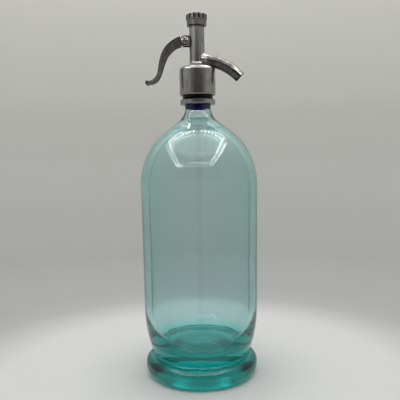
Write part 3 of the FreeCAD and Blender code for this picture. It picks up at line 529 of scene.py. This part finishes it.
WAVE_OUT, WAVE_IN = 0.05, 0.25      # how far the glass wanders, outside and inside
WAVE_SLOW, WAVE_QUICK = (34.0, 0.75), (12.0, 0.35)      # length and share
WAVE_STRETCH = 40.0                 # length of the quick waves up the wall
WAVE_FULL_R = 30.0                  # the waves die away inside this radius
WAVE_SEED = Vector((3, 1, 7))
TRUE_LIP, TRUE_FOOT = 16.0, 0.6     # heights at the lip and at the foot that stay true
INNER_SLACK, FLOOR_SLACK = 0.5, 1.0         # for telling the inner face from the outer
FLOOR_TILT, TILT_REACH = 0.066, 25.0        # slope, and how far below the corner it is full
FLOOR_RING_PITCH, FLOOR_RING_DEPTH = 3.6, 0.12
FLOOR_EDGE = 1.5                    # the relief dies away over this much at the floor's rim
FLOOR_WANDER, FLOOR_WANDER_SIZE = 1.6, 11.0
FLOOR_MOTTLE = (0.16, 6.0), (0.04, 2.5)     # depth and size
GROOVE_IN, GROOVE_WIDTH, GROOVE_DEPTH = 1.6, 1.0, 1.0
KICK_R, KICK_SLOPE, KICK_RISE = 16.0, 1.0, 0.8


def floor_relief(radius):
    """Relief of the inner floor: a groove at its rim, rings, and a raised middle."""
    groove = GROOVE_DEPTH * math.exp(-((radius - FLOOR_R + GROOVE_IN) / GROOVE_WIDTH)**2)
    kick = KICK_RISE / (1 + math.exp((radius - KICK_R) / KICK_SLOPE * 2))
    return kick - groove + FLOOR_RING_DEPTH * math.sin(math.tau * radius / FLOOR_RING_PITCH)


def floor_shift(place, radius):
    """Rise of a point of the inner floor: relief and mottle on a tilt."""
    edge = min(1.0, (FLOOR_R - radius) / FLOOR_EDGE)
    wander = FLOOR_WANDER * noise.noise(place / FLOOR_WANDER_SIZE)
    mottle = sum(depth * noise.noise(place / size) for depth, size in FLOOR_MOTTLE)
    rise = (floor_relief(radius + wander) + mottle) * edge + FLOOR_TILT * place.y
    return Vector((0, 0, rise))


def glass_shift(place):
    """Wandering of blown glass: slight outside, more on the inner face and on the dome."""
    radius = math.hypot(place.x, place.y)
    if place.z > LIP_Z - TRUE_LIP or place.z < TRUE_FOOT:
        return Vector((0, 0, 0))
    if radius < FLOOR_R and place.z < INNER_CORNER_Z:
        in_hollow = place.z < FLOOR_Z / 2
        return Vector((0, 0, 0)) if in_hollow else floor_shift(place, radius)
    inner = radius < BODY_R - WALL + INNER_SLACK and place.z > FLOOR_Z - FLOOR_SLACK
    lean = Vector((0, 0, 0))
    if inner:
        share = max(0.0, min(1.0, (INNER_CORNER_Z - place.z) / TILT_REACH))
        lean.z = FLOOR_TILT * place.y * share
    (slow_length, slow_share), (quick_length, quick_share) = WAVE_SLOW, WAVE_QUICK
    slow = noise.noise(place / slow_length + WAVE_SEED)
    quick = noise.noise(Vector((place.x / quick_length, place.y / quick_length,
                                place.z / WAVE_STRETCH)))
    outward = Vector((place.x, place.y, 0)) / max(radius, ON_AXIS)
    size = WAVE_IN if inner else WAVE_OUT
    return (lean + outward * size * (slow_share * slow + quick_share * quick)
            * min(1.0, radius / WAVE_FULL_R))


def make_bottle():
    """The bottle in one skin: outside, hollow of the foot and inside."""
    profile = bottle_profile()
    piece = mesh_object("bottle_wall",
                        lambda bm: lathe(bm, profile, BOTTLE_SEGMENTS, glass_shift))
    dress(piece, "siphon", "bottle_glass", "glass_bottle")


BUNG_SINK = 0.05                    # the bung wets the bore, as squeezed plastic does
BUNG_LENGTH, BUNG_BORE, BUNG_ROUND = 21.0, 2.8, 1.0
BUNG_FLANGE_R, BUNG_FLANGE = 11.6, 1.6
BUNG_SEAT = 0.1                     # the plug narrows to the bore this far below the lip
RAGGED_REACH = 6.0                  # the uneven lower edge is felt up to this height above it
RAGGED = (2, 0.45, 2.4), (5, 0.25, 0.0)     # number, height and phase of its waves
BUNG_SEGMENTS = 96


def make_bung():
    """Plastic bung that fills the bore. Its lower edge is uneven where it was cut."""
    foot = LIP_Z - BUNG_LENGTH
    full = NECK_BORE + BUNG_SINK
    flat = (full - BUNG_ROUND, foot)
    corner = (full - BUNG_ROUND * ROUND_INSET, foot + BUNG_ROUND * ROUND_INSET)
    side = (full, foot + BUNG_ROUND)
    profile = [(BUNG_BORE, foot), *line((BUNG_BORE, foot), flat, 0.8),
               *arc(flat, corner, side, 0.3), *line(side, (full, LIP_Z - BUNG_SEAT), 1),
               (NECK_BORE, LIP_Z), *line((NECK_BORE, LIP_Z), (BUNG_FLANGE_R, LIP_Z), 1),
               (BUNG_FLANGE_R, LIP_Z + BUNG_FLANGE), (BUNG_BORE, LIP_Z + BUNG_FLANGE),
               (BUNG_BORE, foot)]

    def uneven(place):
        low = max(0.0, 1 - (place.z - foot) / RAGGED_REACH)
        turn = math.atan2(place.y, place.x)
        wave = sum(height * math.sin(count * turn + phase) for count, height, phase in RAGGED)
        return Vector((0, 0, low * wave))

    piece = mesh_object("neck_bung_plug", lambda bm: lathe(bm, profile, BUNG_SEGMENTS, uneven))
    dress(piece, "siphon", "blue_plastic", "neck_bung")


SPRING_WIRE_R, SPRING_TURNS, SPRING_CLOSED = 0.45, 6.5, 0.9
CLOSED_RISE = 2.05 * SPRING_WIRE_R          # per closed turn, so that they all but touch
SPRING_STEPS, WIRE_SIDES = 28, 10


def make_spring():
    """The closing spring, wound with closed ends."""
    low, high = (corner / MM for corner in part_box("closing_spring"))
    reach = high.x - SPRING_WIRE_R
    start, height = low.z + SPRING_WIRE_R, high.z - low.z - 2 * SPRING_WIRE_R
    open_turns = SPRING_TURNS - 2 * SPRING_CLOSED
    pitch = (height - 2 * SPRING_CLOSED * CLOSED_RISE) / open_turns

    def climb(turns):
        closed = min(turns, SPRING_CLOSED) + max(0.0, turns - SPRING_TURNS + SPRING_CLOSED)
        return closed * CLOSED_RISE + (turns - closed) * pitch

    def wire_point(i, k):
        turn, side = math.tau * i / SPRING_STEPS, math.tau * k / WIRE_SIDES
        out = reach + SPRING_WIRE_R * math.cos(side)
        up = start + climb(i / SPRING_STEPS) + SPRING_WIRE_R * math.sin(side)
        return Vector((out * math.cos(turn), out * math.sin(turn), up)) * MM

    def wind(bm):
        rings = [[bm.verts.new(wire_point(i, k)) for k in range(WIRE_SIDES)]
                 for i in range(round(SPRING_TURNS * SPRING_STEPS) + 1)]
        for one, two in zip(rings, rings[1:]):
            for k in range(WIRE_SIDES):
                n = (k + 1) % WIRE_SIDES
                bm.faces.new([one[k], one[n], two[n], two[k]])
        bm.faces.new(rings[0])
        bm.faces.new(rings[-1])

    piece = mesh_object("closing_spring_wire", wind)
    dress(piece, "siphon", "spring_steel", "closing_spring")
    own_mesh(piece)


# ---------------------------------------------------------------- stage and light

# Places and sizes of the stage are in metres.
DRUM_RADIUS, DRUM_CORNER, DRUM_HEIGHT = 0.95, 0.30, 1.3
SHEET_SEGMENTS = 96
SHEET_DROP = 0.0002                 # keeps the paper clear of the glass that stands on it
# Tone of the paper by the distance from the middle of the floor, as a share of DRUM_HEIGHT.
# It is painted light and shade: a little darker under the bottle, a pool of light round it,
# painted shade further out, and paler again up the wall.
PAPER_LIGHT_AND_SHADE = ((0.0, 0.69), (0.05, 0.705), (0.09, 0.735), (0.14, (0.70, 0.70, 0.705)),
         (0.17, (0.58, 0.58, 0.585)), (0.20, (0.47, 0.47, 0.475)), (0.24, 0.437),
         (0.49, (0.432, 0.437, 0.427)), (0.60, (0.45, 0.455, 0.44)),
         (0.66, (0.473, 0.478, 0.463)), (0.74, (0.55, 0.552, 0.535)),
         (0.78, (0.66, 0.66, 0.64)), (0.86, (0.695, 0.69, 0.67)), (1.0, 0.73))
RING_CORNERS = ((-0.415, -0.475), (0.240, -0.475), (0.240, 0.070), (-0.290, 0.070))
RING_Z = 0.500
LED_PITCH, LED_WIDTH, LED_LENGTH, LED_ROW_GAP = 0.0275, 0.0085, 0.026, 0.056
LED_COLOUR, LED_POWER = (1.0, 0.985, 0.95, 1.0), 28.0
WORLD_TONE = (1.74, 1.74, 1.7052, 1.0)
OPENING_Y, OPENING_WIDTH = -0.49, 1.50
OPENING_LOW, OPENING_HIGH = 0.252, 0.60
SEAM_TURN, SEAM_REACH, SEAM_WIDTH = math.radians(121), 0.55, 0.09
# Tone of the cards by the distance from x = 0, as a share of a card's reach, with some cloud.
CARD = (0.08, 0.006), (0.26, 0.015), (0.52, 0.17), (0.95, 0.60)
CARD_CLOUD, CARD_CLOUD_SIZE = 0.1, 0.3


def backdrop():
    """A round sheet that runs up into a wall, so that every view has the same ground. Its tone is
    painted light and shade.
    """
    s = Surface("paper")
    away = s.node("ShaderNodeVectorMath", {0: s.place}, operation="LENGTH").outputs["Value"]
    # painted light and shade by the distance from the middle of the floor
    tone = s.ramp(s.math("MULTIPLY", away, 1 / DRUM_HEIGHT), *PAPER_LIGHT_AND_SHADE)
    material = s.finish(Base_Color=tone, Roughness=0.95, Specular_IOR_Level=0.1)
    inner = DRUM_RADIUS - DRUM_CORNER
    profile = [(0.0, 0.0), *line((0, 0), (inner / MM, 0), pitch=40)]
    profile += arc(profile[-1], ((inner + DRUM_CORNER * math.sin(math.pi / 4)) / MM,
                                 DRUM_CORNER * (1 - math.cos(math.pi / 4)) / MM),
                   (DRUM_RADIUS / MM, DRUM_CORNER / MM), pitch=20)
    profile += line(profile[-1], (DRUM_RADIUS / MM, DRUM_HEIGHT / MM), pitch=60)
    sheet = mesh_object("paper_sweep", lambda bm: lathe(bm, profile, SHEET_SEGMENTS))
    sheet.data.materials.append(material)
    sheet.location.z = -SHEET_DROP


def hide_from(thing, *rays):
    """Keeps a thing of the stage out of the sight of these rays."""
    for ray in rays:
        setattr(thing, f"visible_{ray}", False)


def led_ring():
    """Two rows of small lamps round the top of the light tent, seen in gloss and through glass."""
    s = Surface("led")
    glow = s.node("ShaderNodeEmission", {"Color": LED_COLOUR, "Strength": LED_POWER})
    s.tree.links.new(glow.outputs[0], s.out.inputs["Surface"])

    def dots(bm):
        for start, end in zip(RING_CORNERS, RING_CORNERS[1:] + RING_CORNERS[:1]):
            start, end = Vector((*start, RING_Z)), Vector((*end, RING_Z))
            count = round((end - start).length / LED_PITCH)
            along = (end - start).normalized()
            across = Vector((-along.y, along.x, 0))
            for row in (-0.5, 0.5):
                for i in range(count):
                    centre = (start.lerp(end, (i + 0.5 + row / 2) / count)
                              + across * row * LED_ROW_GAP)
                    bm.faces.new([bm.verts.new(centre + along * a * LED_WIDTH / 2
                                               + across * b * LED_LENGTH / 2)
                                  for a, b in ((-1, -1), (-1, 1), (1, 1), (1, -1))])

    ring = mesh_object("led_ring", dots)
    ring.data.materials.append(s.material)
    hide_from(ring, "camera", "diffuse", "shadow")


def dark_card(name, corners):
    """A sheet that only reflections show, dark near x = 0 and paler away from it."""
    s = Surface(name)
    x = s.node("ShaderNodeSeparateXYZ", {0: s.place}).outputs["X"]
    half = max(abs(place[0]) for place in corners)
    side = s.math("MULTIPLY", s.math("ABSOLUTE", x), 1 / half)
    tone = s.ramp(s.math("MULTIPLY_ADD", s.noise(CARD_CLOUD_SIZE), CARD_CLOUD, side), *CARD)
    card = mesh_object(name, lambda bm: bm.faces.new([bm.verts.new(at) for at in corners]))
    card.data.materials.append(s.finish(Base_Color=tone, Roughness=1.0))
    hide_from(card, "camera", "diffuse", "transmission", "shadow")


def dark_parts_of_the_tent():
    """The tent's open front, behind the camera, and the greyer seams of its back corners."""
    half = OPENING_WIDTH / 2
    dark_card("tent_opening", [(x, OPENING_Y, z) for x, z in (
        (-half, OPENING_LOW), (half, OPENING_LOW), (half, OPENING_HIGH), (-half, OPENING_HIGH))])
    for side, name in ((-1, "left"), (1, "right")):
        seam = Vector((side * math.sin(SEAM_TURN), -math.cos(SEAM_TURN), 0))
        along = Vector((seam.y, -seam.x, 0)) * SEAM_WIDTH / 2
        low, high = seam * SEAM_REACH, seam * SEAM_REACH + Vector((0, 0, DRUM_HEIGHT))
        dark_card(f"tent_seam_{name}", [low - along, low + along, high + along, high - along])


def light_world():
    """Even light from all round, as a light tent gives."""
    world = bpy.data.worlds.new("room")
    bpy.context.scene.world = world
    world.use_nodes = True
    sky = world.node_tree.nodes["Background"]
    sky.inputs["Color"].default_value = WORLD_TONE
    sky.inputs["Strength"].default_value = 1.0


# ---------------------------------------------------------------- build

finishes = {
    "bottle_glass": bottle_glass(),
    "tube_glass": tube_glass(),
    "pewter": pewter(),
    "polished_metal": polished_metal(),
    "dark_iron": dark_iron(),
    "screw_steel": turned_metal("screw_steel", (0.16, 0.156, 0.15), (0.42, 0.415, 0.40), 0.22),
    "spring_steel": turned_metal("spring_steel", (0.25, 0.25, 0.25), (0.45, 0.45, 0.45), 0.30),
    "brass": turned_metal("brass", (0.35, 0.22, 0.08), (0.62, 0.44, 0.19), 0.30),
    "blue_plastic": blue_plastic(),
    "seal_rubber": seal_rubber(),
    "fibre": fibre(),
}

place_camera()
for part in frame["record"]["subparts"]:
    for slot in nodes[part["node"]].material_slots:
        slot.material = finishes[part["material_slot"]]
make_bottle()
make_bung()
make_spring()
backdrop()
led_ring()
dark_parts_of_the_tent()
light_world()

BOUNCES = 20                        # enough for the way through both walls and the foot
FILTER_PX = 1.1

scene = bpy.context.scene
scene.view_settings.view_transform = "Standard"
scene.cycles.max_bounces = BOUNCES
scene.cycles.transmission_bounces = BOUNCES
scene.cycles.glossy_bounces = BOUNCES
scene.cycles.caustics_refractive = True
scene.cycles.caustics_reflective = False
scene.cycles.filter_width = FILTER_PX
